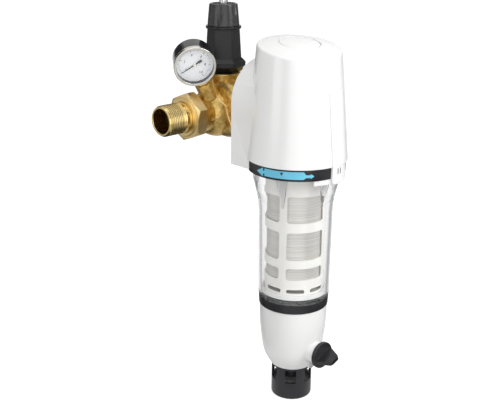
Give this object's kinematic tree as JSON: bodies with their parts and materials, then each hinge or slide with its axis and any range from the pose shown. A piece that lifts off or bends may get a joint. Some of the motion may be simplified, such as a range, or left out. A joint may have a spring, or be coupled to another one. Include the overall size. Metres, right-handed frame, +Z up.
{
  "type": "self cleaning water filter",
  "caption": "Self cleaning water filter for a pipe run, with a clear bowl, a backwash drain valve, a pressure reducer and a pressure gauge on its brass connection.",
  "frame": {"origin": "where the pipe axis meets the pressure reducer's axis, inside the brass connection", "axes": "+X along the pipe run to the right, -Y forward to the filter, +Z up along the reducer and the filter"},
  "size_m": [0.178, 0.2027, 0.4245],
  "materials": {
    "cast_brass": "matte as-forged surface",
    "nut_brass": "machined satin",
    "bright_brass": "turned, bright",
    "seal_rubber": "smooth",
    "steel": "bright",
    "reducer_black": "satin",
    "reducer_grey": "semi gloss",
    "gauge_black": "gloss",
    "gauge_chrome": "polished",
    "gauge_lens": "clear",
    "dial_white": "matte print",
    "needle_black": "matte",
    "hood_white": "gloss",
    "cage_cream": "satin",
    "charcoal": "satin",
    "knob_black": "satin",
    "bowl_clear": "clear plastic"
  },
  "bodies": {
    "fixed_assembly": {"connection_body": "cast_brass", "body_plug": "bright_brass", "union_tail_left": "bright_brass", "union_tail_right": "bright_brass", "union_nut_left": "nut_brass", "union_nut_right": "nut_brass", "union_gasket_left": "seal_rubber", "union_gasket_right": "seal_rubber", "flange_gasket": "seal_rubber", "flange_screw_1": "steel", "flange_screw_2": "steel", "flange_screw_3": "steel", "flange_screw_4": "steel", "reducer_bonnet": "reducer_black", "reducer_cartridge": "cage_cream", "reducer_spring": "steel", "gauge_case": "gauge_black", "gauge_bezel": "gauge_chrome", "gauge_lens": "gauge_lens", "gauge_dial": "dial_white", "gauge_movement": "bright_brass", "gauge_stem": "bright_brass", "filter_head": "hood_white", "hood": "hood_white", "hood_button": "hood_white", "bowl": "bowl_clear", "bowl_seal_upper": "seal_rubber", "bowl_seal_lower": "seal_rubber", "cage_seal": "seal_rubber", "insert_spring": "steel", "base_ring": "charcoal", "drain_housing": "hood_white", "ball_seat_upper": "cage_cream", "ball_seat_lower": "cage_cream", "stem_seal": "seal_rubber", "housing_screw": "steel", "drain_outlet": "charcoal", "outlet_nozzle": "charcoal"},
    "adjusting_knob": {"reducer_knob": "reducer_grey", "reducer_spindle": "steel"},
    "plate": {"spring_plate": "bright_brass"},
    "piston": {"reducer_piston": "bright_brass"},
    "needle": {"gauge_needle": "needle_black", "gauge_arbor": "bright_brass"},
    "locking_ring": {"lock_ring": "charcoal"},
    "insert": {"filter_cage": "cage_cream", "filter_mesh": "steel", "filter_tube": "cage_cream"},
    "drain_valve": {"drain_ball": "steel", "drain_stem": "steel", "drain_knob": "knob_black", "knob_pin": "steel"}
  },
  "joints": [
    {"name": "knob_turn", "type": "hinge", "parent": "fixed_assembly", "child": "adjusting_knob", "pos_m": [0, 0, 0.0923], "axis": [0, 0, 1], "range_deg": [-360, 360]},
    {"name": "plate_slide", "type": "slide", "parent": "fixed_assembly", "child": "plate", "axis": [0, 0, 1], "range_m": [-0.0015, 0.0015], "deforming": ["reducer_spring"]},
    {"name": "piston_slide", "type": "slide", "parent": "fixed_assembly", "child": "piston", "axis": [0, 0, 1], "range_m": [0, 0.002], "stiffness_N_per_m": 1000, "springref_m": -0.004, "deforming": ["reducer_spring"]},
    {"name": "needle_turn", "type": "hinge", "parent": "fixed_assembly", "child": "needle", "pos_m": [-0.0477, -0.006, 0.0585], "axis": [0.5284, 0.7923, 0.3051], "range_deg": [0, 270], "stiffness_Nm_per_rad": 0.001, "springref_deg": -5.73},
    {"name": "lock_ring_turn", "type": "hinge", "parent": "fixed_assembly", "child": "locking_ring", "pos_m": [0, -0.112, -0.0375], "axis": [0, 0, 1], "range_deg": [0, 30]},
    {"name": "insert_slide", "type": "slide", "parent": "fixed_assembly", "child": "insert", "axis": [0, 0, -1], "range_m": [0, 0.0025], "stiffness_N_per_m": 600, "springref_m": -0.006, "deforming": ["insert_spring"]},
    {"name": "drain_turn", "type": "hinge", "parent": "fixed_assembly", "child": "drain_valve", "pos_m": [0, -0.112, -0.244], "axis": [0, -1, 0], "range_deg": [0, 90]}
  ],
  "couplings": [
    {"joint": "knob_turn", "follows": "plate_slide", "rad_per_m": 4188.8}
  ]
}
